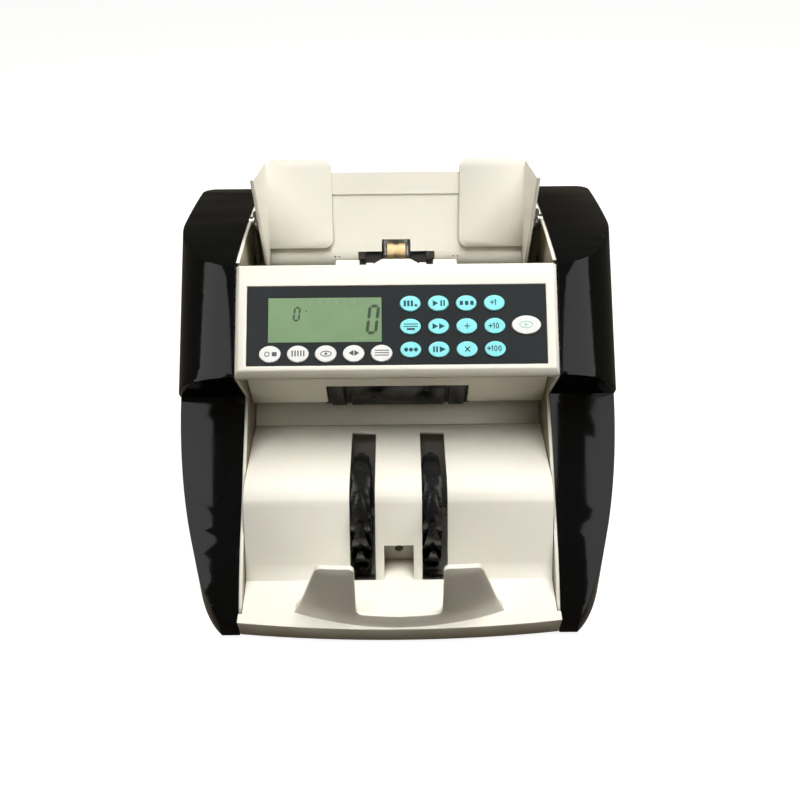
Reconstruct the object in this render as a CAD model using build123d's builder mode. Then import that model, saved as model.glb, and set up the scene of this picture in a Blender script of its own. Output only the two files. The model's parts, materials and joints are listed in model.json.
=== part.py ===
"""Friction-feed banknote counter: hopper on top, key panel, stacker wheels and front tray.

Frame: X to the operator's right, Y towards the back, Z up. The origin is the centre of the
overall box at the surface that the rubber feet stand on. Millimetres.
"""

from build123d import *
from math import cos, radians, sin, sqrt, tan
import os

os.makedirs("parts", exist_ok=True)

# ---------------------------------------------------------------- driving dimensions
half_width = 152.0          # outer face of a side cover
back_y = 141.0              # back of the side covers
front_y = -141.0            # middle of the tray's front lip
foot_height = 4.0
skin = 2.5                  # moulded wall thickness
gap = 0.4                   # assembly gap between neighbouring mouldings

wall_x = 104.5              # inner face of an inner wall
rim_x = wall_x + skin       # where the inner wall ends and the side cover begins
tray_half = wall_x - gap
frame_x = 108.0             # inner face of a steel frame plate
frame_thick = 2.0

# side cover outline, seen from the side (Y, Z)
toe_low = (-131.0, foot_height)
toe_top = (-130.0, 16.0)
wing_bow = (-109.5, 40.5)
wing_start = (-89.0, 60.0)
notch = (-19.4, 121.8)
nose_low = (-49.0, 156.5)
nose_top = (1.0, 212.3)
crown = (70.0, 216.5)
back_top = (back_y, 214.0)

# side cover outline, seen from above
wing_centre = (100.0, -10.0)
wing_radii = (half_width - wing_centre[0], 130.0)
nose_depth = 60.0           # how far the nose rounds back towards the outer face
back_corner = 10.0

# key panel: its plane rises from the lower front edge
panel_tilt = 48.2
panel_low = (-49.6, 156.9)
panel_length = 74.9
bezel_thick = 6.0
bezel_half = rim_x - gap
overlay_half = 98.2
overlay_low, overlay_high = 7.5, 60.4
overlay_thick = 1.0
lcd_size = (74.7, 30.2)
lcd_centre = (-47.1, 37.9)
key_size = (13.6, 10.5)
key_pitch = (18.4, 15.4)
first_key = (9.0, 17.2)     # lower left key of the four by three block
white_key_size = (14.0, 11.2)
first_white_key = (-82.8, 15.0)
white_key_pitch = 18.2
restart_size = (19.0, 12.5)
restart_centre = (84.9, 33.0)
key_rise = 0.9
key_travel = 0.5

# stacker tray (Y, Z)
lip_drop = (-141.0, 19.8)
lip_foot_y = -136.3         # the lip's front leans back under its top edge
crease = (-105.0, 28.0)
wall_low = (-99.7, 39.4)
wall_high = (-83.5, 74.5)
deck_front = (-66.0, 85.8)
deck_back = (-10.6, 89.7)
lip_radius = 940.0          # plan radius of the front lip
slot_inner, slot_outer = 15.8, 33.0
slot_back = -18.5

# stacker wheels
wheel_axis = (-60.0, 50.0)
wheel_radius = 42.0
wheel_width = 13.4
wheel_centres = (-25.9, 22.9)
blade_count = 12

# note path shafts (Y, Z)
shaft_radius = 4.0
run_clearance = 0.05
feed_axis = (22.0, 150.0)
pickup_axis = (64.0, 180.0)
motor_axis = (95.0, 45.0)

# hopper
rest_foot = (54.2, 207.8)   # a point on the front of the back plate
rest_lean = 20.0            # degrees back from vertical
rest_top = 251.0
rest_half = 93.0
rod_axis = (72.0, 215.0)
rod_radius = 3.0
guide_inner, guide_outer = 45.0, 92.5
guide_top = 259.5
guide_thick = 2.4

tilt = radians(panel_tilt)
slope_dir = (0, cos(tilt), sin(tilt))
panel_plane = Plane(origin=(0, *panel_low), x_dir=(1, 0, 0), z_dir=(0, -sin(tilt), cos(tilt)))
lean = radians(rest_lean)
rest_plane = Plane(origin=(0, *rest_foot), x_dir=(1, 0, 0), z_dir=(0, -cos(lean), sin(lean)))


def save(shape, name):
    """Label a finished piece and write it as one STEP file."""
    shape.label = name
    export_step(shape, f"parts/{name}.step")


def mirrored(shape):
    """The same piece handed for the left side."""
    return mirror(shape, about=Plane.YZ)


def yz(x):
    """Plane square to X, with its local axes along Y and Z."""
    return Plane.YZ.offset(x)


# ---------------------------------------------------------------- side covers
def cover_outline(inset=0.0):
    """Closed side view of a cover, pulled in by inset on every side."""
    with BuildSketch() as side:
        with BuildLine():
            Line((back_y, foot_height), toe_low)
            Line(toe_low, toe_top)
            ThreePointArc(toe_top, wing_bow, wing_start)
            Line(wing_start, notch)
            Line(notch, nose_low)
            Line(nose_low, nose_top)
            ThreePointArc(nose_top, crown, back_top)
            Line(back_top, (back_y, foot_height))
        make_face()
        if inset:
            offset(amount=-inset, kind=Kind.INTERSECTION, mode=Mode.REPLACE)
    return side.sketch


def plan_with_round_front(centre, radii, back):
    """Plan outline whose front outer corner is a quarter ellipse."""
    cx, cy = centre
    rx, ry = radii
    inner = cx - 10
    with BuildSketch() as plan:
        with BuildLine():
            Line((inner, cy - ry), (cx, cy - ry))
            EllipticalCenterArc(centre, rx, ry, start_angle=270, arc_size=90)
            Line((cx + rx, cy), (cx + rx, back))
            Line((cx + rx, back), (inner, back))
            Line((inner, back), (inner, cy - ry))
        make_face()
    return plan.sketch


def cover_form(inset, inner):
    """Solid body of the right cover, pulled in by inset on its outer sides."""
    far_back = back_y + 60
    nose_front = nose_low[0] - (nose_low[1] - notch[1]) / tan(tilt)
    nose_centre = (rim_x, nose_front + nose_depth)
    nose_radii = (half_width - rim_x - inset, nose_depth - inset / sin(tilt))
    with BuildPart() as form:
        with BuildSketch(Plane.XY):
            wing_inset = (wing_radii[0] - inset, wing_radii[1] - inset)
            add(plan_with_round_front(wing_centre, wing_inset, far_back))
        extrude(amount=notch[1])
        with BuildSketch(Plane.XY.offset(notch[1])):
            add(plan_with_round_front(nose_centre, nose_radii, far_back))
        extrude(amount=(220 - notch[1]) / sin(tilt), dir=slope_dir)
        with BuildSketch(yz(inner)):
            add(cover_outline(inset))
        extrude(amount=half_width - inset - inner, mode=Mode.INTERSECT)
        corner = form.edges().filter_by(Axis.Z).group_by(Axis.Y)[-1].sort_by(Axis.X)[-1]
        fillet(corner, radius=back_corner - inset)
    return form.part


cover_body = cover_form(0, rim_x)
cover_void = cover_form(skin, rim_x - 1)
with BuildPart() as right_side_cover:
    add(cover_body)
    add(cover_void, mode=Mode.SUBTRACT)
save(right_side_cover.part, "right_side_cover")
save(mirrored(right_side_cover.part), "left_side_cover")

# ---------------------------------------------------------------- inner walls
shaft_points = [wheel_axis, feed_axis, pickup_axis, motor_axis]
shaft_hole = 9.5
tie_points = [(-96, 17), (100, 16), (112, 160)]
tie_radius = 5.0
wall_front = -128.6         # the tray's lip closes the wall off in front of this
with BuildPart() as right_inner_wall:
    with BuildSketch(yz(wall_x)):
        add(cover_outline(gap))
        with Locations((wall_front - 10, 50)):
            Rectangle(20, 120, mode=Mode.SUBTRACT)
        with Locations((0, foot_height)):
            Rectangle(300, 4.4, mode=Mode.SUBTRACT)
        with Locations(*shaft_points):
            Circle(shaft_hole, mode=Mode.SUBTRACT)
        with Locations(*tie_points):
            Circle(tie_radius + 0.5, mode=Mode.SUBTRACT)
    extrude(amount=skin)
    with BuildSketch(panel_plane):
        with Locations((0, panel_length / 2)):
            Rectangle(240, panel_length + 6)
    extrude(amount=-(bezel_thick + gap), mode=Mode.SUBTRACT)
    with BuildSketch(yz(wall_x - 1)):
        with Locations(rod_axis):
            Circle(rod_radius + run_clearance)
    extrude(amount=skin + 2, mode=Mode.SUBTRACT)
save(right_inner_wall.part, "right_inner_wall")
save(mirrored(right_inner_wall.part), "left_inner_wall")

# ---------------------------------------------------------------- steel frame plates
frame_outline = [
    (-118, 7.5), (-70, 66), (-14, 112), (-14, 130), (-38, 156),
    (4, 202), (60, 206), (130, 204), (130, 7.5),
]
bearing_radius = 8.0
tie_screw_radius = 1.8
with BuildPart() as right_frame_plate:
    with BuildSketch(yz(frame_x)):
        Polygon(*frame_outline, align=None)
        with Locations(*shaft_points[:3]):
            Circle(bearing_radius + 0.02, mode=Mode.SUBTRACT)
        with Locations(motor_axis):
            Circle(9, mode=Mode.SUBTRACT)
        with Locations(*tie_points):
            Circle(tie_screw_radius + 0.3, mode=Mode.SUBTRACT)
        with Locations((40, 90), (60, 60)):
            SlotOverall(40, 24, rotation=30, mode=Mode.SUBTRACT)
    extrude(amount=frame_thick)
frame_pair = Compound(children=[right_frame_plate.part, mirrored(right_frame_plate.part)])
save(frame_pair, "frame_plates")

# Round spacers that hold the two frame plates apart, tapped at both ends.
with BuildPart() as tie_rods:
    with BuildSketch(yz(-frame_x)):
        with Locations(*tie_points):
            Circle(tie_radius)
            Circle(tie_screw_radius, mode=Mode.SUBTRACT)
    extrude(amount=2 * frame_x)
save(tie_rods.part, "tie_rods")

# Plain bearings pressed into the frame plates, one pair for each shaft.
bearing_length = 5.0
with BuildPart() as shaft_bearings:
    for side in (-1, 1):
        near = side * (frame_x - 0.7)
        with BuildSketch(yz(near)):
            with Locations(*shaft_points[:3]):
                Circle(bearing_radius)
                Circle(shaft_radius + run_clearance, mode=Mode.SUBTRACT)
        extrude(amount=side * bearing_length)
save(shaft_bearings.part, "shaft_bearings")

# ---------------------------------------------------------------- base pan and feet
foot_points = [(-92, -112), (92, -112), (-92, 118), (92, 118)]
foot_radius = 9.0
pan_front, pan_back = -127.0, 137.0
pan_thick = 1.8
vent_pitch = 22.0
with BuildPart() as base_pan:
    with BuildSketch(Plane.XY.offset(foot_height)):
        with Locations((0, (pan_front + pan_back) / 2)):
            Rectangle(2 * (rim_x - gap), pan_back - pan_front)
        with Locations(*[(i * vent_pitch, 30) for i in (-2, -1, 0, 1, 2)]):
            SlotOverall(40, 5, rotation=90, mode=Mode.SUBTRACT)
    extrude(amount=pan_thick)
save(base_pan.part, "base_pan")

with BuildPart() as rubber_feet:
    with BuildSketch(Plane.XY):
        with Locations(*foot_points):
            Circle(foot_radius)
    extrude(amount=foot_height)
    chamfer(rubber_feet.edges().group_by(Axis.Z)[0], 0.8)
save(rubber_feet.part, "rubber_feet")

# ---------------------------------------------------------------- stacker tray
def tray_outline(inset=0.0):
    """Closed side view of the tray: lip, floor, back wall and deck."""
    rise = (wall_high[0] - wall_low[0], wall_high[1] - wall_low[1])
    with BuildSketch() as side:
        with BuildLine():
            Line((front_y, foot_height), (front_y, lip_drop[1]))
            Line((front_y, lip_drop[1]), crease)
            Line(crease, wall_low)
            Line(wall_low, wall_high)
            TangentArc(wall_high, deck_front, tangent=rise)
            Line(deck_front, deck_back)
            Line(deck_back, (deck_back[0], foot_height))
            Line((deck_back[0], foot_height), (front_y, foot_height))
        make_face()
        if inset:
            offset(amount=-inset, kind=Kind.INTERSECTION, mode=Mode.REPLACE)
    return side.sketch


lip_undercut = (lip_foot_y - front_y) / (lip_drop[1] - foot_height)


def lip_cone(inset, height):
    """Cone whose side is the tray's bowed, undercut front, pulled in by inset."""
    low_radius = lip_radius - inset - lip_drop[1] * lip_undercut
    with BuildPart() as form:
        with Locations((0, front_y + lip_radius, 0)):
            Cone(low_radius, low_radius + height * lip_undercut, height,
                 align=(Align.CENTER, Align.CENTER, Align.MIN))
    return form.part


def tray_form(inset, half):
    """Solid under the tray's surface, with the bowed front, pulled in by inset."""
    with BuildPart() as form:
        with BuildSketch(yz(-half)):
            add(tray_outline(inset))
        extrude(amount=2 * half)
        add(lip_cone(inset, deck_back[1] + 1), mode=Mode.INTERSECT)
    return form.part


tray_body = tray_form(0, tray_half)
lip_ends = tray_form(0, bezel_half)
tray_void = tray_form(skin, tray_half - skin)
pocket_half = 10.0
pocket_back = -85.0
pocket_top = 50.0
floor_z = crease[1]
lip_mid_y = -125.0
with BuildPart() as pocket_block:
    with BuildSketch(Plane.XY.offset(floor_z - skin)):
        with Locations((0, (crease[0] + pocket_back + skin) / 2)):
            Rectangle(2 * (pocket_half + skin), pocket_back + skin - crease[0])
    extrude(amount=pocket_top + skin - floor_z + skin)
    add(tray_body, mode=Mode.INTERSECT)
with BuildPart() as stacker_tray:
    add(tray_body)
    add(tray_void, mode=Mode.SUBTRACT)
    with BuildSketch(Plane.XY.offset(foot_height - 1)):
        with Locations((0, -75)):
            Rectangle(2 * (tray_half - skin), 124)
    extrude(amount=skin + 4, mode=Mode.SUBTRACT)
    # lip ends reach across the front edges of the inner walls
    with BuildSketch(Plane.XY.offset(-1)):
        with Locations((0, wall_front - gap - 10)):
            Rectangle(2 * bezel_half, 20)
    lip_band = extrude(amount=60, mode=Mode.PRIVATE)
    add(lip_ends & lip_band)
    with BuildSketch(Plane.XY):
        with Locations((0, lip_mid_y)):
            Rectangle(2 * (bezel_half - skin), 40)
    lip_hollow = extrude(amount=lip_drop[1] - skin, mode=Mode.PRIVATE)
    add(lip_hollow & lip_cone(skin, lip_drop[1]), mode=Mode.SUBTRACT)
    add(pocket_block.part)
    # slots for the stacker wheels
    for side in (-1, 1):
        with BuildSketch(Plane.XY.offset(floor_z - skin - 1)):
            with Locations((side * (slot_inner + slot_outer) / 2, (crease[0] + slot_back) / 2)):
                Rectangle(slot_outer - slot_inner, slot_back - crease[0])
        extrude(amount=80, mode=Mode.SUBTRACT)
    # sensor pocket between the wheels
    with BuildSketch(Plane.XY.offset(floor_z)):
        with Locations((0, (crease[0] + pocket_back) / 2)):
            Rectangle(2 * pocket_half, pocket_back - crease[0])
    extrude(amount=pocket_top - floor_z, mode=Mode.SUBTRACT)
    with BuildSketch(Plane.XZ.offset(-pocket_back + 1)):
        with Locations((0, 38)):
            Circle(2.8)
    extrude(amount=-8, mode=Mode.SUBTRACT)
    # the skirt stands on the base pan behind the lip
    with BuildSketch(Plane.XY):
        with Locations((0, (pan_front - gap) / 2)):
            Rectangle(2 * tray_half + 1, -(pan_front - gap))
    extrude(amount=foot_height + pan_thick + gap, mode=Mode.SUBTRACT)
    # clearance for the shaft and the front tie rod
    with BuildSketch(yz(-tray_half - 1)):
        with Locations(wheel_axis):
            Circle(shaft_hole)
        with Locations(tie_points[0]):
            Circle(tie_radius + 0.5)
    extrude(amount=2 * tray_half + 2, mode=Mode.SUBTRACT)
save(stacker_tray.part, "stacker_tray")

# ---------------------------------------------------------------- note stop
stop_thick = 3.4
stop_base = 19.5            # just under the tray's floor at the stop's front
stop_height = 60.0
band_radius, band_y = 225.0, 85.3   # band at the stop's foot, in plan at its base
band_lean = 8.0             # degrees that the band leans back as it rises
stop_radius, stop_y = 179.8, 40.5   # face above the band, in plan at its base
stop_flare = 3.0            # degrees that the face leans towards the operator as it rises
stop_outline = [(72.7, 16), (63.6, 34.4), (51.8, 68.9), (28.1, 73.5), (28.0, 30.6)]
outer_round, top_round, notch_round = 6.0, 3.0, 4.5


def stop_cone(radius, centre_y, angle):
    """Upright cone that widens by angle as it rises from the stop's base."""
    spread = stop_height * tan(radians(angle))
    with BuildPart() as form:
        with Locations((0, centre_y, stop_base)):
            Cone(radius, radius + spread, stop_height, align=(Align.CENTER, Align.CENTER, Align.MIN))
    return form.part


with BuildPart() as stop_front:
    add(stop_cone(band_radius, band_y, -band_lean))
    add(stop_cone(stop_radius, stop_y, stop_flare))
with BuildPart() as note_stop:
    with BuildSketch(Plane.XZ.offset(100)) as stop_face:
        with BuildLine():
            left_side = [(-x, z) for x, z in reversed(stop_outline)]
            Polyline(*stop_outline, *left_side, close=True)
        make_face()
        fillet(stop_face.vertices().group_by(Axis.Y)[-1], radius=top_round)
        outer_corners = stop_face.vertices().filter_by(lambda v: abs(v.Y - stop_outline[2][1]) < 0.1)
        fillet(outer_corners, radius=outer_round)
        notch_corners = stop_face.vertices().filter_by(lambda v: abs(v.Y - stop_outline[4][1]) < 0.1)
        fillet(notch_corners, radius=notch_round)
    extrude(amount=60)
    add(stop_front.part, mode=Mode.INTERSECT)
    add(stop_cone(stop_radius - stop_thick, stop_y, stop_flare), mode=Mode.SUBTRACT)
    add(tray_body, mode=Mode.SUBTRACT)
save(note_stop.part, "note_stop")

# ---------------------------------------------------------------- chute and recess wall
def strip(points, thick, side=Side.RIGHT):
    """Side view of a bent sheet: a run of points thickened to one side."""
    with BuildSketch() as sheet:
        with BuildLine():
            Polyline(*points)
            offset(amount=thick, side=side, kind=Kind.INTERSECTION)
        make_face()
    return sheet.sketch


chute_foot = (deck_back[0] + gap, deck_back[1])
chute_head = (17.0, 114.5)
with BuildPart() as upper_chute:
    with BuildSketch(yz(-tray_half)):
        add(strip([chute_foot, chute_head], skin))
    extrude(amount=2 * tray_half)
save(upper_chute.part, "upper_chute")

wall_head = (-21.0, 137.0)
wall_foot = (-10.0, 110.0)
wall_length = sqrt((wall_head[0] - wall_foot[0]) ** 2 + (wall_head[1] - wall_foot[1]) ** 2)
wall_run = ((wall_head[0] - wall_foot[0]) / wall_length, (wall_head[1] - wall_foot[1]) / wall_length)
wall_plane = Plane(origin=(0, *wall_foot), x_dir=(1, 0, 0), z_dir=(0, -wall_run[1], wall_run[0]))
mouth_half = 50.0
mouth_high = 19.6
with BuildPart() as front_wall:
    with BuildSketch(yz(-tray_half)):
        add(strip([(-44.0, 151.6), wall_head, wall_foot], skin, Side.LEFT))
    extrude(amount=2 * tray_half)
    with BuildSketch(wall_plane.offset(1)):
        Rectangle(2 * mouth_half, 2 * mouth_high)
    extrude(amount=-(skin + 2), mode=Mode.SUBTRACT)
save(front_wall.part, "front_wall")

# Black shroud behind the mouth: a backing plate with three guide blocks.
shroud_front = -0.8
shroud_size = (104.0, 30.0)
guide_height = 24.0
with BuildPart() as exit_shroud:
    with BuildSketch(wall_plane.offset(-(skin + gap))):
        with Locations((0, 9)):
            Rectangle(*shroud_size)
    extrude(amount=-skin)
    with BuildSketch(wall_plane.offset(shroud_front)):
        with Locations((0, 7)):
            Rectangle(66, guide_height)
        with Locations((-42, 7), (42, 7)):
            Rectangle(11, guide_height)
    extrude(amount=-(skin + gap + shroud_front + 1))
save(exit_shroud.part, "exit_shroud")

# ---------------------------------------------------------------- key panel
overlay_mid = (overlay_low + overlay_high) / 2
overlay_height = overlay_high - overlay_low
overlay_top = -0.4
panel_axis = Axis((0, 0, 0), (0, -sin(tilt), cos(tilt)))
bump_height = 3.7
with BuildPart() as panel_bezel:
    with BuildSketch(panel_plane):
        with Locations((0, panel_length / 2)):
            Rectangle(2 * bezel_half, panel_length)
        Polygon(
            (-16, panel_length), (-9.6, panel_length + bump_height),
            (9.6, panel_length + bump_height), (16, panel_length), align=None
        )
    extrude(amount=-bezel_thick)
    front_face = panel_bezel.faces().sort_by(panel_axis)[-1]
    chamfer(front_face.edges().sort_by(Axis.X)[0], 3.0)
    front_face = panel_bezel.faces().sort_by(panel_axis)[-1]
    chamfer(front_face.edges().sort_by(Axis.X)[-1], 3.0)
    front_face = panel_bezel.faces().sort_by(panel_axis)[-1]
    chamfer(front_face.edges().sort_by(Axis.Y)[0], 4.3)
    with BuildSketch(panel_plane.offset(1)):
        with Locations((0, overlay_mid)):
            Rectangle(2 * overlay_half + 0.4, overlay_height + 0.4)
    extrude(amount=-(1 - overlay_top + overlay_thick), mode=Mode.SUBTRACT)
    with BuildSketch(panel_plane):
        with Locations((0, overlay_mid)):
            Rectangle(2 * overlay_half - 2, overlay_height - 2)
    extrude(amount=-bezel_thick, mode=Mode.SUBTRACT)
save(panel_bezel.part, "panel_bezel")

rows = {"bottom": 0, "middle": 1, "top": 2}
blue_keys = {
    f"blue_key_{row}_{column + 1}": (
        first_key[0] + column * key_pitch[0], first_key[1] + step * key_pitch[1]
    )
    for row, step in rows.items()
    for column in range(4)
}
white_keys = {
    f"detect_key_{i + 1}": (first_white_key[0] + i * white_key_pitch, first_white_key[1])
    for i in range(5)
}
key_clearance = 0.25
with BuildPart() as keypad_overlay:
    with BuildSketch(panel_plane.offset(overlay_top)):
        with Locations((0, overlay_mid)):
            Rectangle(2 * overlay_half, overlay_height)
        with Locations(lcd_centre):
            Rectangle(*lcd_size, mode=Mode.SUBTRACT)
        with Locations(*blue_keys.values()):
            Ellipse(key_size[0] / 2 + key_clearance, key_size[1] / 2 + key_clearance,
                    mode=Mode.SUBTRACT)
        with Locations(*white_keys.values()):
            Ellipse(white_key_size[0] / 2 + key_clearance, white_key_size[1] / 2 + key_clearance,
                    mode=Mode.SUBTRACT)
        with Locations(restart_centre):
            Ellipse(restart_size[0] / 2 + key_clearance, restart_size[1] / 2 + key_clearance,
                    mode=Mode.SUBTRACT)
    extrude(amount=-overlay_thick)
save(keypad_overlay.part, "keypad_overlay")

board_face = -8.0           # front of the display board, measured from the panel plane
key_bottom = board_face + key_travel + 0.3
flange_top = -2.6
flange_thick = 1.0
flange_extra = 0.8


def key_cap(centre, size):
    """Oval key with a rounded rim and a flange that holds it behind the overlay."""
    with BuildPart() as cap:
        with BuildSketch(panel_plane.offset(key_rise)):
            with Locations(centre):
                Ellipse(size[0] / 2, size[1] / 2)
        extrude(amount=key_bottom - key_rise)
        fillet(cap.faces().sort_by(panel_axis)[-1].edges(), radius=0.7)
        with BuildSketch(panel_plane.offset(flange_top)):
            with Locations(centre):
                Ellipse(size[0] / 2 + flange_extra, size[1] / 2 + flange_extra)
        extrude(amount=-flange_thick)
    return cap.part


for name, centre in blue_keys.items():
    save(key_cap(centre, key_size), name)
for name, centre in white_keys.items():
    save(key_cap(centre, white_key_size), name)
save(key_cap(restart_centre, restart_size), "restart_key")

lcd_holder = (89.0, 35.0)
lcd_holder_centre = (-47.5, 39.5)
lcd_holder_thick = 6.0
with BuildPart() as lcd_module:
    with BuildSketch(panel_plane.offset(overlay_top - overlay_thick - 0.1)):
        with Locations(lcd_holder_centre):
            Rectangle(*lcd_holder)
    extrude(amount=-lcd_holder_thick)
    with BuildSketch(panel_plane.offset(overlay_top - 0.3)):
        with Locations(lcd_centre):
            Rectangle(lcd_size[0] - gap, lcd_size[1] - gap)
    extrude(amount=-lcd_holder_thick / 2)
save(lcd_module.part, "lcd_module")

board_thick = 1.6
chip_height = 3.2
with BuildPart() as display_board:
    with BuildSketch(panel_plane.offset(board_face)):
        with Locations((0, overlay_mid)):
            Rectangle(192, 58)
    extrude(amount=-board_thick)
    with BuildSketch(panel_plane.offset(board_face - board_thick)):
        with Locations((-40, 36), (30, 26)):
            Rectangle(16, 12)
        with Locations((70, 44)):
            Rectangle(26, 6)
    extrude(amount=-chip_height)
save(display_board.part, "display_board")

# ---------------------------------------------------------------- hopper
bend_radius = 16.0
bend_angle = 74.0           # degrees that the plate's foot curls back and under
plate_recess = 0.8          # the lower part of the back plate lies behind its top band
band_low = 237.0
pinhole_radius, pinhole_z = 0.6, 195.4
pickup_window, pickup_mid_z = (55.0, 24.0), 187.0
roller_window, roller_mid_z = (20.5, 14.0), 200.0


def on_rest(ahead, up):
    """Y and Z of a point given as distances in front of the back plate and up along it."""
    return (
        rest_foot[0] - ahead * cos(lean) + up * sin(lean),
        rest_foot[1] + ahead * sin(lean) + up * cos(lean),
    )


def rest_up(z):
    """Distance along the back plate that reaches height z on its face."""
    return (z - rest_foot[1]) / cos(lean)


bend_start = on_rest(-plate_recess, rest_up(199))
bend_centre = (bend_start[0] + bend_radius * cos(lean), bend_start[1] - bend_radius * sin(lean))
with BuildPart() as hopper_back_plate:
    with BuildSketch(yz(-rest_half)):
        with BuildLine():
            Line(on_rest(-plate_recess, rest_up(rest_top)), bend_start)
            CenterArc(bend_centre, bend_radius, 180 - rest_lean, bend_angle)
            offset(amount=skin, side=Side.LEFT)
        make_face()
    extrude(amount=2 * rest_half)
    with BuildSketch(rest_plane):
        with Locations((0, (rest_up(band_low) + rest_up(rest_top)) / 2)):
            Rectangle(2 * rest_half, rest_up(rest_top) - rest_up(band_low))
    extrude(amount=-skin)
    with BuildSketch(Plane.XZ.offset(-30)):
        with Locations((0, pickup_mid_z)):
            Rectangle(*pickup_window)
        with Locations((0, roller_mid_z)):
            Rectangle(*roller_window)
        with Locations(*[(x, pinhole_z) for x in (-44.1, -41.0, 41.0, 44.1)]):
            Circle(pinhole_radius)
    extrude(amount=-40, mode=Mode.SUBTRACT)
save(hopper_back_plate.part, "hopper_back_plate")

tab_back = 18.0
floor_tabs = ((25.0, 41.0, 208.0), (15.6, 20.4, 206.0))   # inner X, outer X and top of each
with BuildPart() as hopper_floor:
    with BuildSketch(yz(-tray_half)):
        add(strip([(8, 208), (8, 199), (30, 191.5)], skin))
    extrude(amount=2 * tray_half)
    for low, high, top in floor_tabs:
        for side in (-1, 1):
            with BuildSketch(yz(side * low)):
                Polygon((8, 197.5), (8, top), (tab_back, top), (tab_back, 194.2), align=None)
            extrude(amount=side * (high - low))
save(hopper_floor.part, "hopper_floor")

# right-hand note guide: face plate, flared flange, hook over the back plate and rod boss
flare = radians(5.5)
plate_near, plate_far = 0.5, 0.5 + guide_thick
guide_foot = rest_up(202)
guide_head = rest_up(guide_top)
forward = Vector(sin(flare), -cos(lean) * cos(flare), sin(lean) * cos(flare))
upward = Vector(0, sin(lean), cos(lean))
root = Vector(guide_outer, *on_rest(plate_near, 0))
flange_plane = Plane(origin=root, x_dir=forward, z_dir=forward.cross(upward))
hook_inner, hook_outer = 58.0, 76.0
rod_ahead = -(rod_axis[0] - rest_foot[0]) * cos(lean) + (rod_axis[1] - rest_foot[1]) * sin(lean)
rod_up = (rod_axis[0] - rest_foot[0]) * sin(lean) + (rod_axis[1] - rest_foot[1]) * cos(lean)
boss_radius = 6.0
with BuildPart() as right_note_guide:
    with BuildSketch(rest_plane.offset(plate_near)) as guide_face:
        Polygon(
            (guide_inner, guide_foot), (guide_outer, guide_foot), (guide_outer, guide_head - 8),
            (guide_outer - 5.5, guide_head), (guide_inner, guide_head), align=None
        )
        inner_corners = guide_face.vertices().group_by(Axis.X)[0]
        fillet(inner_corners, radius=6.5)
    extrude(amount=guide_thick)
    with BuildSketch(flange_plane):
        Polygon((-0.2, -11), (-0.2, 46), (4.5, 53), (38.5, 40.8), (6.8, -19.5), align=None)
    extrude(amount=guide_thick)
    with BuildSketch(yz(hook_inner)):
        Polygon(
            on_rest(plate_far, 46.8), on_rest(plate_far, 50), on_rest(-7.4, 50),
            on_rest(-7.4, rod_up + 5), on_rest(rod_ahead, rod_up + 5), on_rest(rod_ahead, rod_up),
            on_rest(-4.4, rod_up), on_rest(-4.4, 46.8), align=None
        )
        with Locations(rod_axis):
            Circle(boss_radius)
            Circle(rod_radius + run_clearance, mode=Mode.SUBTRACT)
    extrude(amount=hook_outer - hook_inner)
save(right_note_guide.part, "right_note_guide")
save(mirrored(right_note_guide.part), "left_note_guide")

collar_inner, collar_outer = 100.4, 103.6
collar_radius = 7.0
with BuildPart() as guide_rod:
    with BuildSketch(yz(-(rim_x - gap))):
        with Locations(rod_axis):
            Circle(rod_radius)
    extrude(amount=2 * (rim_x - gap))
    for side in (-1, 1):
        with BuildSketch(yz(side * collar_inner)):
            with Locations(rod_axis):
                Circle(collar_radius)
        extrude(amount=side * (collar_outer - collar_inner))
    circles = guide_rod.edges().filter_by(GeomType.CIRCLE)
    rims = circles.filter_by(lambda e: e.radius > collar_radius - 0.1)
    chamfer(rims, 0.5)
save(guide_rod.part, "guide_rod")

# brass guide roller on its bracket
roller_axis = (56.0, 197.5)
roller_radius = 5.8
roller_half = 6.7
groove_half, groove_depth = 2.0, 0.8
pin_radius = 1.5
with BuildPart() as brass_roller:
    with BuildSketch(yz(-roller_half)):
        with Locations(roller_axis):
            Circle(roller_radius)
            Circle(pin_radius + run_clearance, mode=Mode.SUBTRACT)
    extrude(amount=2 * roller_half)
    circles = brass_roller.edges().filter_by(GeomType.CIRCLE)
    chamfer(circles.filter_by(lambda e: e.radius > roller_radius - 0.1), 0.4)
    with BuildSketch(yz(-groove_half)):
        with Locations(roller_axis):
            Circle(roller_radius + 1)
            Circle(roller_radius - groove_depth, mode=Mode.SUBTRACT)
    extrude(amount=2 * groove_half, mode=Mode.SUBTRACT)
save(brass_roller.part, "brass_roller")

cheek_inner, cheek_thick = 7.4, 1.0
ear_far = 16.0
with BuildPart() as roller_bracket:
    for side in (-1, 1):
        with BuildSketch(yz(side * cheek_inner)):
            Polygon(
                on_rest(-1.2, -5), on_rest(-3.9, -1.5), on_rest(-5.4, 8), on_rest(-12.4, 8),
                on_rest(-12.4, -13), on_rest(-5.5, -14), on_rest(-1.2, -12), align=None
            )
        extrude(amount=side * cheek_thick)
        with BuildSketch(rest_plane.offset(-4.4)):
            with Locations((side * (cheek_inner + ear_far) / 2, 5)):
                Rectangle(ear_far - cheek_inner, 6)
        extrude(amount=-cheek_thick)
    with BuildSketch(rest_plane.offset(-11.4)):
        with Locations((0, -2.5)):
            Rectangle(2 * (cheek_inner + cheek_thick), 21)
    extrude(amount=-cheek_thick)
    with BuildSketch(yz(-cheek_inner)):
        with Locations(roller_axis):
            Circle(pin_radius)
    extrude(amount=2 * cheek_inner)
save(roller_bracket.part, "roller_bracket")

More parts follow.
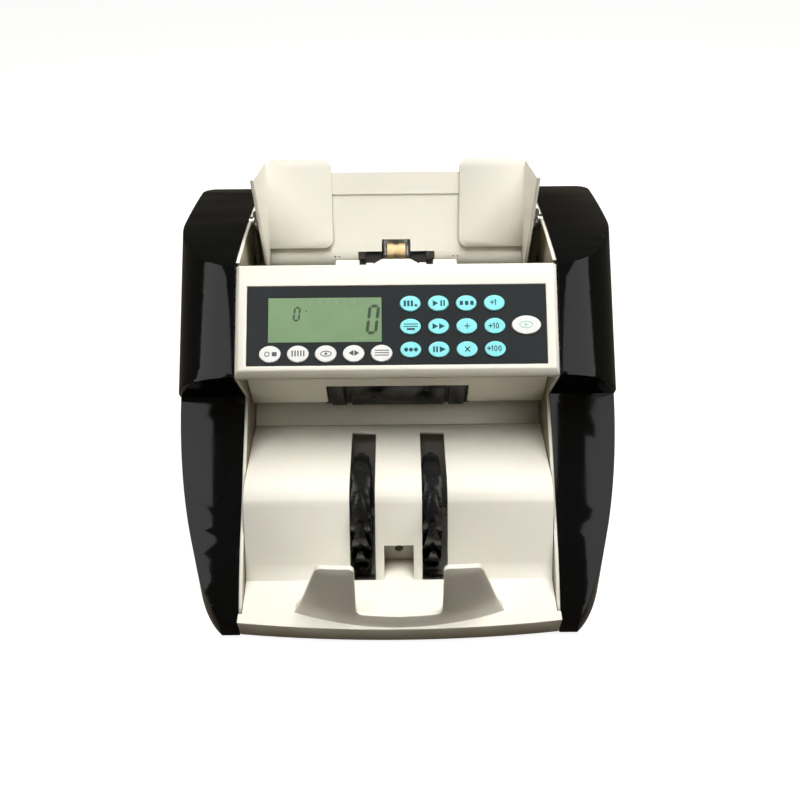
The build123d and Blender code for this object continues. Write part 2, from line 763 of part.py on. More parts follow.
# ---------------------------------------------------------------- shafts, rollers and wheels
def round_bar(axis, radius, start, end, bore=0.0):
    """Cylinder along X, with an optional bore."""
    with BuildPart() as bar:
        with BuildSketch(yz(start)):
            with Locations(axis):
                Circle(radius)
                if bore:
                    Circle(bore, mode=Mode.SUBTRACT)
        extrude(amount=end - start)
    return bar.part


shaft_left, shaft_right = -112.5, 126.0
stacker_shaft_left, stacker_shaft_right = -128.0, 113.0
save(round_bar(feed_axis, shaft_radius, shaft_left, shaft_right), "feed_shaft")
save(round_bar(pickup_axis, shaft_radius, shaft_left, shaft_right), "pickup_shaft")
stacker_shaft = round_bar(wheel_axis, shaft_radius, stacker_shaft_left, stacker_shaft_right)
save(stacker_shaft, "stacker_shaft")


def roller_pair(axis, radius, inner, outer):
    """Two rubber rollers with rounded shoulders on one shaft."""
    with BuildPart() as pair:
        for side in (-1, 1):
            with BuildSketch(yz(side * inner)):
                with Locations(axis):
                    Circle(radius)
                    Circle(shaft_radius, mode=Mode.SUBTRACT)
            extrude(amount=side * (outer - inner))
        rims = pair.edges().filter_by(GeomType.CIRCLE).filter_by(lambda e: e.radius > radius - 0.1)
        fillet(rims, radius=1.0)
    return pair.part


save(roller_pair(feed_axis, 22.0, 22.0, 42.0), "feed_rollers")
save(roller_pair(pickup_axis, 19.0, 10.0, 22.0), "pickup_rollers")

blade_thick = 2.0
hub_radius = 22.5
tip_half = 1.9
with BuildPart() as blade:
    with BuildSketch(yz(-wheel_width / 2)):
        with BuildLine():
            ThreePointArc((0.0, wheel_radius), (-17.0, 33.0), (-21.0, 8.0))
            offset(amount=blade_thick, side=Side.LEFT)
        make_face()
    extrude(amount=wheel_width)
    with BuildSketch(Plane.XY):
        Polygon(
            (-wheel_width / 2, -40), (wheel_width / 2, -40), (wheel_width / 2, -21),
            (tip_half, -1.5), (0.8, 0.4), (-0.8, 0.4), (-tip_half, -1.5), (-wheel_width / 2, -21),
            align=None
        )
    extrude(amount=wheel_radius + 1, mode=Mode.INTERSECT)
with BuildPart() as wheel:
    with BuildSketch(yz(-wheel_width / 2)):
        Circle(hub_radius)
        Circle(shaft_radius, mode=Mode.SUBTRACT)
    extrude(amount=wheel_width)
    for i in range(blade_count):
        add(blade.part, rotation=(i * 360 / blade_count, 0, 0))
wheel_pair = Compound(
    children=[wheel.part.moved(Location((x, *wheel_axis))) for x in wheel_centres]
)
save(wheel_pair, "stacker_wheels")

# ---------------------------------------------------------------- drive
pulley_left, pulley_right = 114.0, 124.0
belt_thick = 1.6
pulley_radii = {"feed_pulley": 20.0, "pickup_pulley": 16.0, "motor_pulley": 12.0}
pulley_axes = {"feed_pulley": feed_axis, "pickup_pulley": pickup_axis, "motor_pulley": motor_axis}


def pulley(axis, radius, bore):
    """Flat belt pulley with a thin flange at each side."""
    with BuildPart() as body:
        with BuildSketch(yz(pulley_left)):
            with Locations(axis):
                Circle(radius)
                if bore:
                    Circle(bore, mode=Mode.SUBTRACT)
        extrude(amount=pulley_right - pulley_left)
        for start in (pulley_left - 1, pulley_right):
            with BuildSketch(yz(start)):
                with Locations(axis):
                    Circle(radius + belt_thick + 0.5)
                    if bore:
                        Circle(bore, mode=Mode.SUBTRACT)
            extrude(amount=1)
    return body.part


for name in ("feed_pulley", "pickup_pulley"):
    save(pulley(pulley_axes[name], pulley_radii[name], shaft_radius), name)
motor_shaft_radius = 3.0
motor_left, motor_right = 44.0, 103.5
motor_radius = 22.0
motor_shaft_start = 84.0
with BuildPart() as motor_pulley:
    add(pulley(motor_axis, pulley_radii["motor_pulley"], 0))
    add(round_bar(motor_axis, motor_shaft_radius, motor_shaft_start, pulley_left))
save(motor_pulley.part, "motor_pulley")

belt_slack = 0.05


def belt_loop(extra):
    """Area inside a taut line round the three pulleys, each larger by extra."""
    with BuildSketch() as loop:
        for name, radius in pulley_radii.items():
            with Locations(pulley_axes[name]):
                Circle(radius + extra)
        make_hull()
    return loop.sketch


with BuildPart() as drive_belt:
    with BuildSketch(yz(pulley_left + 0.3)):
        add(belt_loop(belt_slack + belt_thick))
        add(belt_loop(belt_slack), mode=Mode.SUBTRACT)
    extrude(amount=pulley_right - pulley_left - 0.6)
save(drive_belt.part, "drive_belt")

with BuildPart() as drive_motor:
    add(round_bar(motor_axis, motor_radius, motor_left, motor_right))
    with BuildSketch(yz(motor_right)):
        with Locations(motor_axis):
            Circle(motor_shaft_radius + run_clearance)
    extrude(amount=motor_shaft_start - motor_right - 1, mode=Mode.SUBTRACT)
    fillet(drive_motor.faces().sort_by(Axis.X)[0].edges(), radius=2.0)
save(drive_motor.part, "drive_motor")

small_motor_left, small_motor_right = -139.0, -113.5
small_motor_radius = 19.0
with BuildPart() as stacker_motor:
    add(round_bar(wheel_axis, small_motor_radius, small_motor_left, small_motor_right))
    with BuildSketch(yz(small_motor_right)):
        with Locations(wheel_axis):
            Circle(shaft_radius + run_clearance)
    extrude(amount=-16, mode=Mode.SUBTRACT)
    fillet(stacker_motor.faces().sort_by(Axis.X)[0].edges(), radius=2.0)
save(stacker_motor.part, "stacker_motor")

# ---------------------------------------------------------------- electronics
board_x = -114.5
main_board_size = (108.0, 126.0)
component_height = 12.0
with BuildPart() as main_board:
    with BuildSketch(yz(board_x)):
        with Locations((74, 75)):
            Rectangle(*main_board_size)
    extrude(amount=-board_thick)
    with BuildSketch(yz(board_x - board_thick)):
        with Locations((104, 38)):
            Rectangle(40, 44)
        with Locations((50, 90)):
            Rectangle(24, 24)
        with Locations((100, 100), (100, 120)):
            Circle(8)
        with Locations((60, 30)):
            Rectangle(34, 10)
    extrude(amount=-component_height)
save(main_board.part, "main_board")

# ---------------------------------------------------------------- rear cover and mains inlet
rear_y = 138.2
deck_z = 208.0
deck_y = 80.0
inlet_x, inlet_z, switch_z = -70.0, 32.0, 58.0
inlet_mid = 45.0
rear_screws = [(-96, 16), (96, 16), (-96, 190), (96, 190)]
with BuildPart() as rear_cover:
    with BuildSketch(yz(-tray_half)):
        with BuildLine():
            FilletPolyline((deck_y, deck_z), (rear_y, deck_z), (rear_y, foot_height + 2.2), radius=8)
            offset(amount=skin, side=Side.RIGHT)
        make_face()
    extrude(amount=2 * tray_half)
    with BuildSketch(Plane.XZ.offset(-rear_y - 1)):
        with Locations((inlet_x, inlet_mid)):
            Rectangle(28, 51)
        with Locations(*rear_screws):
            Circle(2.2)
        with Locations(*[(25 + 12 * i, 60) for i in range(5)]):
            SlotOverall(44, 4, rotation=90)
    extrude(amount=skin + 2, mode=Mode.SUBTRACT)
    with BuildSketch(Plane.XY.offset(deck_z + 1)):
        with Locations(*[(x, 108) for x in range(-60, 61, 12)]):
            SlotOverall(30, 4, rotation=90)
    extrude(amount=-(skin + 2), mode=Mode.SUBTRACT)
save(rear_cover.part, "rear_cover")

rocker_size = (13.0, 19.0)
rocker_pivot = (133.4, switch_z)
rocker_lean = 6.0           # degrees that the switch leans at rest
trunnion_radius = 1.2
flange_back = rear_y + 2.0
socket_depth = 16.0
pin_length = 10.0
with BuildPart() as power_inlet:
    with BuildSketch(Plane.XZ.offset(-flange_back)):
        with Locations((inlet_x, inlet_mid)):
            RectangleRounded(33, 57, 2.5)
    extrude(amount=flange_back - rear_y)
    with BuildSketch(Plane.XZ.offset(-rear_y)):
        with Locations((inlet_x, inlet_mid)):
            Rectangle(27.4, 50.4)
    extrude(amount=26)
    with BuildSketch(Plane.XZ.offset(-flange_back)):
        with Locations((inlet_x, inlet_z)):
            RectangleRounded(22, 15, 2)
    extrude(amount=socket_depth, mode=Mode.SUBTRACT)
    with BuildSketch(Plane.XZ.offset(-flange_back)):
        with Locations((inlet_x, switch_z)):
            Rectangle(rocker_size[0] + 0.8, rocker_size[1] + 2.2)
    extrude(amount=14, mode=Mode.SUBTRACT)
    with BuildSketch(Plane.XZ.offset(socket_depth - flange_back)):
        with Locations((inlet_x - 7, inlet_z - 2), (inlet_x, inlet_z + 2), (inlet_x + 7, inlet_z - 2)):
            Rectangle(2, 4)
    extrude(amount=-pin_length)
    with BuildSketch(yz(inlet_x - 8.8)):
        with Locations(rocker_pivot):
            Circle(trunnion_radius + run_clearance)
    extrude(amount=17.6, mode=Mode.SUBTRACT)
save(power_inlet.part, "power_inlet")

lean_angle = radians(rocker_lean)
rocker_turn = (0, cos(lean_angle), sin(lean_angle))
with BuildPart() as power_switch:
    rocker_side = Plane(origin=(inlet_x - rocker_size[0] / 2, *rocker_pivot), x_dir=rocker_turn,
                        z_dir=(1, 0, 0))
    half_rocker = rocker_size[1] / 2
    with BuildSketch(rocker_side):
        Polygon(
            (-3, -half_rocker), (6.4, -half_rocker), (5, 0), (6.4, half_rocker),
            (-3, half_rocker), align=None
        )
    extrude(amount=rocker_size[0])
    with BuildSketch(yz(inlet_x - 8.5)):
        with Locations(rocker_pivot):
            Circle(trunnion_radius)
    extrude(amount=17)
save(power_switch.part, "power_switch")

# ---------------------------------------------------------------- screws
head_radius, head_height = 3.5, 1.8
shank_radius, shank_length = 1.7, 10.0
with BuildPart() as case_screws:
    with BuildSketch(Plane.XZ.offset(-rear_y)):
        with Locations(*rear_screws):
            Circle(head_radius)
    extrude(amount=-head_height)
    with BuildSketch(Plane.XZ.offset(-rear_y)):
        with Locations(*rear_screws):
            Circle(shank_radius)
    extrude(amount=shank_length)
    with BuildSketch(Plane.XZ.offset(-rear_y - head_height)):
        with Locations(*rear_screws):
            Rectangle(4, 0.9)
            Rectangle(0.9, 4)
    extrude(amount=0.9, mode=Mode.SUBTRACT)
    for side in (-1, 1):
        with BuildSketch(yz(side * (frame_x + frame_thick))):
            with Locations(*tie_points):
                Circle(head_radius)
        extrude(amount=side * head_height)
        with BuildSketch(yz(side * (frame_x + frame_thick))):
            with Locations(*tie_points):
                Circle(shank_radius)
        extrude(amount=-side * shank_length)
save(case_screws.part, "case_screws")
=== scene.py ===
"""Looks of the banknote counter: materials, key legends, display, small details, floor, light and camera.

Metres, in the CAD frame: +X to the operator's right, +Y to the back, +Z up, Z 0 under the feet.
"""

import json
from math import cos, pi, radians, sin

import bmesh
import bpy
from mathutils import Matrix, Vector


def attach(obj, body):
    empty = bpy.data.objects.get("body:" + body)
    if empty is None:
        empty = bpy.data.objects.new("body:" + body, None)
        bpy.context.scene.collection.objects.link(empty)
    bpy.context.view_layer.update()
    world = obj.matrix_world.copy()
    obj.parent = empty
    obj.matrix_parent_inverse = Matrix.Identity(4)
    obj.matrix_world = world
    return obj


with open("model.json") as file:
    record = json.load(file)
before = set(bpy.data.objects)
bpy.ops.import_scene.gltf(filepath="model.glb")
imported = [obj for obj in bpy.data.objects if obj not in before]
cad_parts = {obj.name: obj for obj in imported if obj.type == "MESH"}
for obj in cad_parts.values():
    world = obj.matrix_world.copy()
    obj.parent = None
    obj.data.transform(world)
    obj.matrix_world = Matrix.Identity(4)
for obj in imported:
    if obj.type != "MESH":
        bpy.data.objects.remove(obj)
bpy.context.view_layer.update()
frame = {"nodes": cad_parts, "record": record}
MM = 0.001
OCCLUSION_SAMPLES = 8


# ---------------------------------------------------------------- materials
class Look:
    """A Principled material that is built up from object-space noise layers."""

    def __init__(self, name, colour, roughness, **inputs):
        self.material = bpy.data.materials.new(name)
        self.material.use_nodes = True
        self.nodes = self.material.node_tree.nodes
        self.links = self.material.node_tree.links
        self.shader = self.nodes["Principled BSDF"]
        self.shader.inputs["Base Color"].default_value = (*colour, 1)
        self.shader.inputs["Roughness"].default_value = roughness
        self.colour = colour
        self.roughness = roughness
        self.normal = None
        for label, value in inputs.items():
            self.shader.inputs[label.replace("_", " ")].default_value = value
        self.place = self.nodes.new("ShaderNodeTexCoord").outputs["Object"]

    def noise(self, scale, detail=2.0, stretch=None):
        """Noise in object space; scale is in cells per metre."""
        place = self.place
        if stretch:
            mapping = self.nodes.new("ShaderNodeMapping")
            mapping.inputs["Scale"].default_value = stretch
            self.links.new(place, mapping.inputs["Vector"])
            place = mapping.outputs["Vector"]
        node = self.nodes.new("ShaderNodeTexNoise")
        node.inputs["Scale"].default_value = scale
        node.inputs["Detail"].default_value = detail
        self.links.new(place, node.inputs["Vector"])
        return node.outputs["Fac"]

    def remap(self, value, low, high, to_low=0.0, to_high=1.0):
        """Linear change of range, clamped."""
        node = self.nodes.new("ShaderNodeMapRange")
        node.inputs["From Min"].default_value = low
        node.inputs["From Max"].default_value = high
        node.inputs["To Min"].default_value = to_low
        node.inputs["To Max"].default_value = to_high
        self.links.new(value, node.inputs["Value"])
        return node.outputs["Result"]

    def tint(self, factor, colour):
        """Lay another colour over the base colour, by factor."""
        base = self.shader.inputs["Base Color"]
        mix = self.nodes.new("ShaderNodeMix")
        mix.data_type = "RGBA"
        self.links.new(factor, mix.inputs[0])
        if base.is_linked:
            self.links.new(base.links[0].from_socket, mix.inputs[6])
        else:
            mix.inputs[6].default_value = base.default_value
        mix.inputs[7].default_value = (*colour, 1)
        self.links.new(mix.outputs[2], base)
        return self

    def mottle(self, scale, strength):
        """Slight light and dark clouds in the colour."""
        darker = tuple(channel * (1 - strength) for channel in self.colour)
        return self.tint(self.remap(self.noise(scale, 4), 0.35, 0.65), darker)

    def gloss(self, scale, spread):
        """Uneven roughness, as handling and moulding leave it."""
        low, high = self.roughness - spread, self.roughness + spread
        rough = self.remap(self.noise(scale, 3), 0.3, 0.7, low, high)
        self.links.new(rough, self.shader.inputs["Roughness"])
        return self

    def grain(self, scale, height, stretch=None, detail=2.0):
        """Fine relief; height is in metres."""
        bump = self.nodes.new("ShaderNodeBump")
        bump.inputs["Strength"].default_value = 1.0
        bump.inputs["Distance"].default_value = height
        self.links.new(self.noise(scale, detail, stretch), bump.inputs["Height"])
        if self.normal:
            self.links.new(self.normal, bump.inputs["Normal"])
        self.normal = bump.outputs["Normal"]
        self.links.new(self.normal, self.shader.inputs["Normal"])
        return self

    def paint_crevice_shade(self, colour, reach, low, high):
        """Painted shade: a darker, warmer colour, by ambient occlusion, in crevices that little light enters;
        reach is in metres.
        """
        hollow = self.nodes.new("ShaderNodeAmbientOcclusion")
        hollow.samples = OCCLUSION_SAMPLES
        hollow.inputs["Distance"].default_value = reach
        return self.tint(self.remap(hollow.outputs["AO"], high, low), colour)

    def specks(self, scale, size, colour):
        """Sparse fine dots, such as dust on a dark gloss surface."""
        cells = self.nodes.new("ShaderNodeTexVoronoi")
        cells.inputs["Scale"].default_value = scale
        self.links.new(self.place, cells.inputs["Vector"])
        near = self.remap(cells.outputs["Distance"], size, size * 0.5)
        return self.tint(near, colour)


# painted shade in hollows: reach in metres, then the occlusion values at which the painted shade's colour is
# full and absent
OPEN_HOLLOW = (0.05, 0.1, 0.5)
DEEP_HOLLOW = (0.13, 0.3, 0.8)


def make_looks():
    """Every finish of the object: the record's material slots, and the marks' own; the ivory finishes carry
    painted shade in their crevices.
    """
    looks = {}
    looks["gloss_black_shell"] = (
        Look("gloss_black_shell", (0.0022, 0.0028, 0.0028), 0.1, Specular_IOR_Level=0.25)
        .specks(420, 0.055, (0.2, 0.22, 0.22)).gloss(60, 0.03).grain(260, 0.000004)
    )
    # both ivories get painted shade in their crevices; shaded_ivory's painted shade reaches further and is
    # stronger
    for name, hollow in (("ivory_plastic", OPEN_HOLLOW), ("shaded_ivory", DEEP_HOLLOW)):
        looks[name] = (
            Look(name, (0.91, 0.875, 0.775), 0.42, Subsurface_Weight=0.06,
                 Subsurface_Scale=0.003)
            .mottle(14, 0.03).paint_crevice_shade((0.13, 0.105, 0.045), *hollow)
            .gloss(90, 0.07).grain(2600, 0.00002)
        )
    looks["grey_plastic"] = (
        Look("grey_plastic", (0.62, 0.6, 0.53), 0.5)
        .mottle(20, 0.05).gloss(80, 0.06).grain(1900, 0.00004)
    )
    looks["black_plastic"] = (
        Look("black_plastic", (0.008, 0.0085, 0.0085), 0.24, Specular_IOR_Level=0.5)
        .gloss(120, 0.05).grain(900, 0.00001)
    )
    looks["overlay_film"] = (
        Look("overlay_film", (0.02, 0.024, 0.025), 0.36, Specular_IOR_Level=0.3)
        .mottle(30, 0.1).gloss(60, 0.04).grain(3000, 0.000012)
    )
    looks["blue_key_plastic"] = (
        Look("blue_key_plastic", (0.29, 0.84, 0.87), 0.33, Coat_Weight=0.2)
        .mottle(180, 0.05).grain(2400, 0.00001)
    )
    looks["white_key_plastic"] = (
        Look("white_key_plastic", (0.86, 0.86, 0.84), 0.33, Coat_Weight=0.2)
        .mottle(180, 0.03).grain(2400, 0.00001)
    )
    looks["lcd_glass"] = (
        Look("lcd_glass", (0.21, 0.335, 0.175), 0.25, Coat_Weight=0.5, Coat_Roughness=0.03)
        .mottle(40, 0.08).grain(4000, 0.000003)
    )
    looks["circuit_board"] = (
        Look("circuit_board", (0.02, 0.13, 0.05), 0.4)
        .mottle(300, 0.35).gloss(400, 0.1)
    )
    looks["black_rubber"] = (
        Look("black_rubber", (0.022, 0.021, 0.02), 0.72)
        .mottle(200, 0.3).grain(1600, 0.00005)
    )
    looks["zinc_steel"] = (
        Look("zinc_steel", (0.62, 0.62, 0.6), 0.32, Metallic=1.0)
        .mottle(160, 0.15).gloss(220, 0.1).grain(500, 0.000012, (1, 14, 14))
    )
    looks["bearing_bronze"] = (
        Look("bearing_bronze", (0.5, 0.32, 0.15), 0.4, Metallic=1.0)
        .mottle(600, 0.3).grain(2500, 0.00002)
    )
    looks["polished_rod"] = (
        Look("polished_rod", (0.78, 0.79, 0.8), 0.1, Metallic=1.0)
        .gloss(300, 0.04).grain(300, 0.000004, (1, 30, 30))
    )
    looks["roller_brass"] = (
        Look("roller_brass", (0.95, 0.72, 0.4), 0.4, Metallic=0.35)
        .gloss(500, 0.06).grain(900, 0.000008, (12, 1, 1))
    )
    looks["legend_blue"] = Look("legend_blue", (0.012, 0.075, 0.1), 0.4).mottle(900, 0.2)
    looks["legend_grey"] = Look("legend_grey", (0.1, 0.1, 0.11), 0.4).mottle(900, 0.2)
    looks["legend_pale"] = Look("legend_pale", (0.42, 0.68, 0.64), 0.4).mottle(900, 0.1)
    looks["lcd_segment"] = Look("lcd_segment", (0.055, 0.085, 0.05), 0.3).mottle(600, 0.1)
    looks["lcd_ghost"] = Look("lcd_ghost", (0.2, 0.3, 0.17), 0.3).mottle(600, 0.1)
    return {name: look.material for name, look in looks.items()}


looks = make_looks()
node_slots = {part["node"]: part["material_slot"] for part in frame["record"]["subparts"]}
node_body = {
    node: body for body, nodes in frame["record"]["behaviour"]["bodies"].items() for node in nodes
}


# ---------------------------------------------------------------- CAD nodes
BEVELS = {                      # width of the moulded edge in millimetres, where it shows
    "left_side_cover": 0.9, "right_side_cover": 0.9, "panel_bezel": 0.7, "stacker_tray": 0.6,
    "note_stop": 0.7, "left_note_guide": 0.45, "right_note_guide": 0.45,
    "left_inner_wall": 0.4, "right_inner_wall": 0.4, "upper_chute": 0.4, "front_wall": 0.5,
    "hopper_floor": 0.5, "rear_cover": 0.6, "power_inlet": 0.4, "power_switch": 0.5,
    "stacker_wheels": 0.25, "guide_rod": 0.2, "brass_roller": 0.15,
    "roller_bracket": 0.15, "base_pan": 0.3, "exit_shroud": 0.4,
}
BEVEL_ANGLE = radians(32)       # edges sharper than this are softened
WELD_REACH = 0.002              # millimetres
SHADED = ("left_inner_wall", "right_inner_wall")     # deep cheeks that the covers shade; their colour takes stronger painted shade


def dress(node):
    """Material and smooth shading for one CAD node, and softened edges where BEVELS names it."""
    piece = frame["nodes"][node]
    piece.data.materials.clear()
    # the deep cheeks take the ivory with stronger painted shade
    piece.data.materials.append(looks["shaded_ivory" if node in SHADED else node_slots[node]])
    if node in BEVELS:
        weld = piece.modifiers.new("weld", "WELD")
        weld.merge_threshold = WELD_REACH * MM
        bevel = piece.modifiers.new("edge", "BEVEL")
        bevel.width = BEVELS[node] * MM
        bevel.segments = 2
        bevel.limit_method = "ANGLE"
        bevel.angle_limit = BEVEL_ANGLE
        bevel.harden_normals = True
    piece.data.shade_smooth()


for node_name in frame["nodes"]:
    dress(node_name)


# ---------------------------------------------------------------- flat marks
def bar(x, y, width, height):
    """Upright rectangle round a centre, as one polygon. Marks are drawn in millimetres."""
    w, h = width / 2, height / 2
    return [(x - w, y - h), (x + w, y - h), (x + w, y + h), (x - w, y + h)]


def disc(x, y, radius, sides=20):
    """Round dot, as one polygon."""
    turns = [2 * pi * i / sides for i in range(sides)]
    return [(x + radius * cos(turn), y + radius * sin(turn)) for turn in turns]


def ring(x, y, width, height, stroke, sides=24):
    """Oval outline, as a run of four-sided polygons."""
    polygons = []
    for i in range(sides):
        corners = []
        for turn, inset in ((i, 0), (i + 1, 0), (i + 1, stroke), (i, stroke)):
            angle = 2 * pi * turn / sides
            corners.append((x + (width / 2 - inset) * cos(angle), y + (height / 2 - inset) * sin(angle)))
        polygons.append(corners)
    return polygons


def arrow(x, y, width, height):
    """Triangle that points along its width, or against it where the width is negative."""
    return [(x - width / 2, y - height / 2), (x + width / 2, y), (x - width / 2, y + height / 2)]


def stroke(start, end, width):
    """Straight line of some width between two points."""
    along = (Vector(end) - Vector(start)).normalized() * width / 2
    side = Vector((-along.y, along.x))
    corners = [Vector(start) - side, Vector(end) - side, Vector(end) + side, Vector(start) + side]
    return [tuple(corner) for corner in corners]


TEXT_HEIGHT, TEXT_STROKE = 2.7, 0.42      # millimetres
MARK_SCALE = 1.45          # the marks nearly fill the keys


def plus(x, y, size=1.9):
    """Two crossed bars."""
    return [bar(x, y, size, TEXT_STROKE), bar(x, y, TEXT_STROKE, size)]


def amount(zeros):
    """A plus sign, a one and some zeros, centred as a group."""
    advance = 1.85
    start = -(zeros + 1.6) * advance / 2 + 0.3
    marks = plus(start, 0)
    one = start + 1.6
    marks += [bar(one, 0, TEXT_STROKE, TEXT_HEIGHT),
              stroke((one - 0.6, TEXT_HEIGHT / 2 - 0.7), (one, TEXT_HEIGHT / 2 - 0.1), TEXT_STROKE)]
    for i in range(zeros):
        marks += ring(one + 1.45 + i * advance, 0, 1.5, TEXT_HEIGHT, TEXT_STROKE)
    return marks


def seven_segment(left, low, width, height, thick, lit="abcdef", lean=0.12):
    """Leaning seven-segment digit: bars with pointed ends."""
    half = height / 2
    spots = {"a": (0, height, 1), "d": (0, 0, 1), "g": (0, half, 1),
             "f": (0, half, 0), "b": (width, half, 0), "e": (0, 0, 0), "c": (width, 0, 0)}
    polygons = []
    space = thick * 0.16
    for name in lit:
        x, y, flat = spots[name]
        run = (width if flat else half) - 2 * space
        outline = [(0, 0), (thick / 2, thick / 2), (run - thick / 2, thick / 2), (run, 0),
                   (run - thick / 2, -thick / 2), (thick / 2, -thick / 2)]
        corners = []
        for along, across in outline:
            dx, dy = (along + space, across) if flat else (-across, along + space)
            corners.append((left + x + dx + (y + dy) * lean, low + y + dy))
        polygons.append(corners)
    return polygons


key_joint = next(j for j in frame["record"]["behaviour"]["joints"] if j["name"] == "restart_key_press")
NORMAL = -Vector(key_joint["axis"]).normalized()
ACROSS = Vector((1, 0, 0))
UPWARD = NORMAL.cross(ACROSS)
FLAT_WITHIN = 0.02         # millimetres below the highest vertex that still count as the top face


def top_face(node):
    """Highest vertices of a node along the panel's normal, and that height in metres."""
    points = [vertex.co for vertex in frame["nodes"][node].data.vertices]
    top = max(point.dot(NORMAL) for point in points)
    return [point for point in points if point.dot(NORMAL) > top - FLAT_WITHIN * MM], top


def printed(name, polygons, centre, height, look, body, thick=0.03):
    """Flat printed marks on a surface that is square to the panel's normal."""
    shape = bmesh.new()
    for polygon in polygons:
        base = [centre + ACROSS * x * MM + UPWARD * y * MM + NORMAL * (height - thick * MM)
                for x, y in polygon]
        face = shape.faces.new([shape.verts.new(point) for point in base])
        grown = bmesh.ops.extrude_face_region(shape, geom=[face])
        moved = [item for item in grown["geom"] if isinstance(item, bmesh.types.BMVert)]
        bmesh.ops.translate(shape, verts=moved, vec=NORMAL * 2 * thick * MM)
    bmesh.ops.recalc_face_normals(shape, faces=shape.faces)
    mesh = bpy.data.meshes.new(name)
    shape.to_mesh(mesh)
    shape.free()
    mesh.materials.append(looks[look])
    piece = bpy.data.objects.new(name, mesh)
    bpy.context.scene.collection.objects.link(piece)
    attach(piece, body)
    return piece


def key_marks():
    """Pictogram of each key, drawn round the key's centre."""
    line, tall = TEXT_STROKE, TEXT_HEIGHT
    lines = [bar(0, y, 6.4, line) for y in (-1.1, 0, 1.1)]
    return {
        "blue_key_top_1": [bar(x, 0, 1.0, tall) for x in (-2.6, -1.0, 0.6)] + [bar(2.4, -0.9, 1.2, 0.9)],
        "blue_key_top_2": [arrow(-1.4, 0, 2.4, tall), bar(1.2, 0, 0.7, tall), bar(2.5, 0, 0.7, tall)],
        "blue_key_top_3": [bar(x, 0, 1.5, 1.9) for x in (-2.4, 0, 2.4)],
        "blue_key_top_4": amount(0),
        "blue_key_middle_1": lines[1:] + [bar(0, -1.2, 3.6, 0.9)],
        "blue_key_middle_2": [arrow(-1.6, 0, 2.6, tall), arrow(1.4, 0, 2.6, tall)],
        "blue_key_middle_3": plus(0, 0, 2.6),
        "blue_key_middle_4": amount(1),
        "blue_key_bottom_1": [disc(x, 0, 0.9) for x in (-2.2, 0, 2.2)],
        "blue_key_bottom_2": [bar(-2.4, 0, 0.8, tall), bar(-1.0, 0, 0.8, tall), arrow(1.6, 0, 2.8, tall)],
        "blue_key_bottom_3": [stroke((-1.1, -1.1), (1.1, 1.1), 0.5), stroke((-1.1, 1.1), (1.1, -1.1), 0.5)],
        "blue_key_bottom_4": amount(2),
        "detect_key_1": ring(-1.4, 0, 2.4, 2.4, line) + [bar(1.9, 0, 2.2, 1.9)],
        "detect_key_2": [bar(x, 0, 0.6, tall) for x in (-2.6, -1.3, 0, 1.3, 2.6)],
        "detect_key_3": ring(0, 0, 5.2, tall, line) + [disc(0, 0, 0.6)],
        "detect_key_4": [arrow(-1.3, 0, -2.2, tall), arrow(1.3, 0, 2.2, tall)],
        "detect_key_5": lines,
        "restart_key": ring(0, 0, 6.4, 3.4, 0.5) + [arrow(0.2, 0, 1.9, 1.8)],
    }


def key_look(node):
    """Ink of a key's mark."""
    if node.startswith("blue"):
        return "legend_blue"
    return "legend_grey" if node.startswith("detect") else "legend_pale"


for key_name, marks in key_marks().items():
    key_top, key_height = top_face(key_name)
    middle = sum(key_top, Vector()) / len(key_top)
    flat_middle = middle - NORMAL * middle.dot(NORMAL)
    marks = [[(x * MARK_SCALE, y * MARK_SCALE) for x, y in polygon] for polygon in marks]
    printed(f"{key_name}_mark", marks, flat_middle, key_height, key_look(key_name),
            node_body[key_name])


def display_marks():
    """Lit digits and unlit marks of the display, as fractions of its glass turned to millimetres."""
    glass, height = top_face("lcd_module")
    across = [point.dot(ACROSS) for point in glass]
    upward = [point.dot(UPWARD) for point in glass]
    wide, high = (max(across) - min(across)) / MM, (max(upward) - min(upward)) / MM
    corner = ACROSS * min(across) + UPWARD * min(upward)

    def block(u0, u1, v0, v1):
        return bar((u0 + u1) / 2 * wide, (v0 + v1) / 2 * high, (u1 - u0) * wide, (v1 - v0) * high)

    def digit(u, v, width, height_share, thick, lit):
        return seven_segment(u * wide, v * high, width * wide, height_share * high, thick, lit)

    lit = digit(0.872, 0.2, 0.075, 0.6, 2.1, "abcdef")
    lit += digit(0.222, 0.49, 0.045, 0.29, 1.3, "abcdef")
    lit += [bar(0.335 * wide, 0.7 * high, 1.2, 0.5), bar(0.335 * wide, 0.7 * high, 0.5, 1.2)]
    printed("display_digits", lit, corner, height, "lcd_segment", "root")
    ghost = [block(u, u + 0.05, 0.865, 0.93) for u in (0.35, 0.425, 0.5, 0.575, 0.65, 0.725)]
    ghost += [block(0.02, 0.12, 0.2, 0.25), block(0.03, 0.11, 0.14, 0.17), block(0.16, 0.29, 0.34, 0.39)]
    ghost += [block(0.16, 0.24, 0.15, 0.2), block(0.76, 0.95, 0.07, 0.1), block(0.01, 0.99, 0.035, 0.042)]
    printed("display_ghosts", ghost, corner, height, "lcd_ghost", "root", 0.015)


display_marks()

# ---------------------------------------------------------------- camera, light, floor
CAMERA_AT = (0.0017, -0.515, 0.452)
CAMERA_PITCH = 34.0        # degrees below level
CAMERA_ROLL = -0.55        # degrees
FOCAL_PIXELS, IMAGE_PIXELS, SENSOR = 848.5, 800.0, 36.0
OVERHEAD_AT, OVERHEAD_TARGET = (0.15, -0.2, 1.3), (0, -0.06, 0.1)
OVERHEAD_SIZE, OVERHEAD_WATTS = (1.3, 0.5), 22
SIDE_REACH, SIDE_AHEAD, SIDE_UP, SIDE_SIZE = 1.2, -0.75, 0.9, (1.5, 1.5)
SIDE_TARGET = (0, 0, 0.1)
SIDE_WATTS = ((-1, 15.0), (1, 14.0))      # left, right
FLOOR_HALF = 6.0
FLOOR_GLOW = 0.92
WORLD_COLOUR, WORLD_STRENGTH = (1, 0.87, 0.68, 1), 0.11


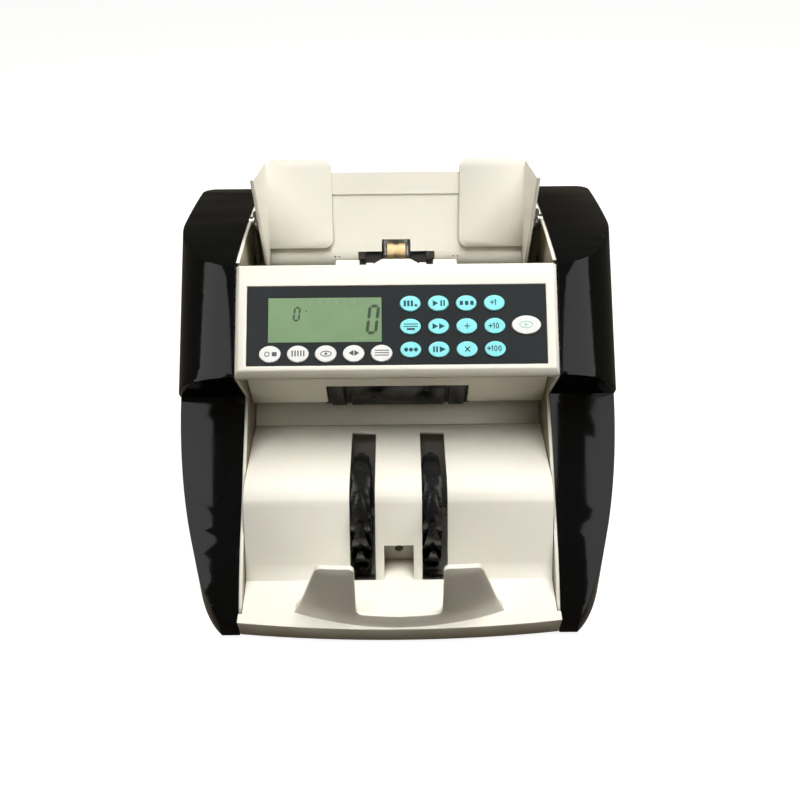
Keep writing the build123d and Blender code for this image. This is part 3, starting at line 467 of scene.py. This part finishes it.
def add_camera():
    """Camera that looks down on the panel."""
    data = bpy.data.cameras.new("camera")
    data.sensor_width = SENSOR
    data.lens = FOCAL_PIXELS / IMAGE_PIXELS * SENSOR
    camera = bpy.data.objects.new("camera", data)
    bpy.context.scene.collection.objects.link(camera)
    look = Matrix.Rotation(radians(90 - CAMERA_PITCH), 4, "X") @ Matrix.Rotation(radians(CAMERA_ROLL), 4, "Z")
    camera.matrix_world = Matrix.Translation(CAMERA_AT) @ look
    bpy.context.scene.camera = camera


def add_area(name, at, target, size, power, colour=(1, 1, 1)):
    """Softbox that faces a target point."""
    data = bpy.data.lights.new(name, "AREA")
    data.shape = "RECTANGLE"
    data.size, data.size_y = size
    data.energy = power
    data.color = colour
    light = bpy.data.objects.new(name, data)
    bpy.context.scene.collection.objects.link(light)
    light.location = at
    light.rotation_euler = (Vector(target) - Vector(at)).to_track_quat("-Z", "Y").to_euler()
    return light


def add_floor():
    """Pale floor under the rubber feet."""
    mesh = bpy.data.meshes.new("floor")
    half = FLOOR_HALF
    mesh.from_pydata([(-half, -half, 0), (half, -half, 0), (half, half, 0), (-half, half, 0)],
                     [], [(0, 1, 2, 3)])
    floor = bpy.data.objects.new("floor", mesh)
    bpy.context.scene.collection.objects.link(floor)
    finish = Look("floor", (0.35, 0.35, 0.35), 0.9, Specular_IOR_Level=0.0,
                  Emission_Color=(1, 1, 1, 1), Emission_Strength=FLOOR_GLOW)
    mesh.materials.append(finish.mottle(3, 0.01).material)
    floor.visible_diffuse = False
    floor.visible_glossy = False


def add_world():
    """Weak warm light from all round."""
    world = bpy.data.worlds.new("studio")
    world.use_nodes = True
    background = world.node_tree.nodes["Background"]
    background.inputs["Color"].default_value = WORLD_COLOUR
    background.inputs["Strength"].default_value = WORLD_STRENGTH
    bpy.context.scene.world = world


add_camera()
add_floor()
add_world()
overhead = add_area("overhead", OVERHEAD_AT, OVERHEAD_TARGET, OVERHEAD_SIZE, OVERHEAD_WATTS)
overhead.visible_glossy = False
for side, power in SIDE_WATTS:
    side_at = (side * SIDE_REACH, SIDE_AHEAD, SIDE_UP)
    softbox = add_area(f"side_{side}", side_at, SIDE_TARGET, SIDE_SIZE, power)
    softbox.visible_diffuse = False
bpy.context.scene.view_settings.view_transform = "Standard"
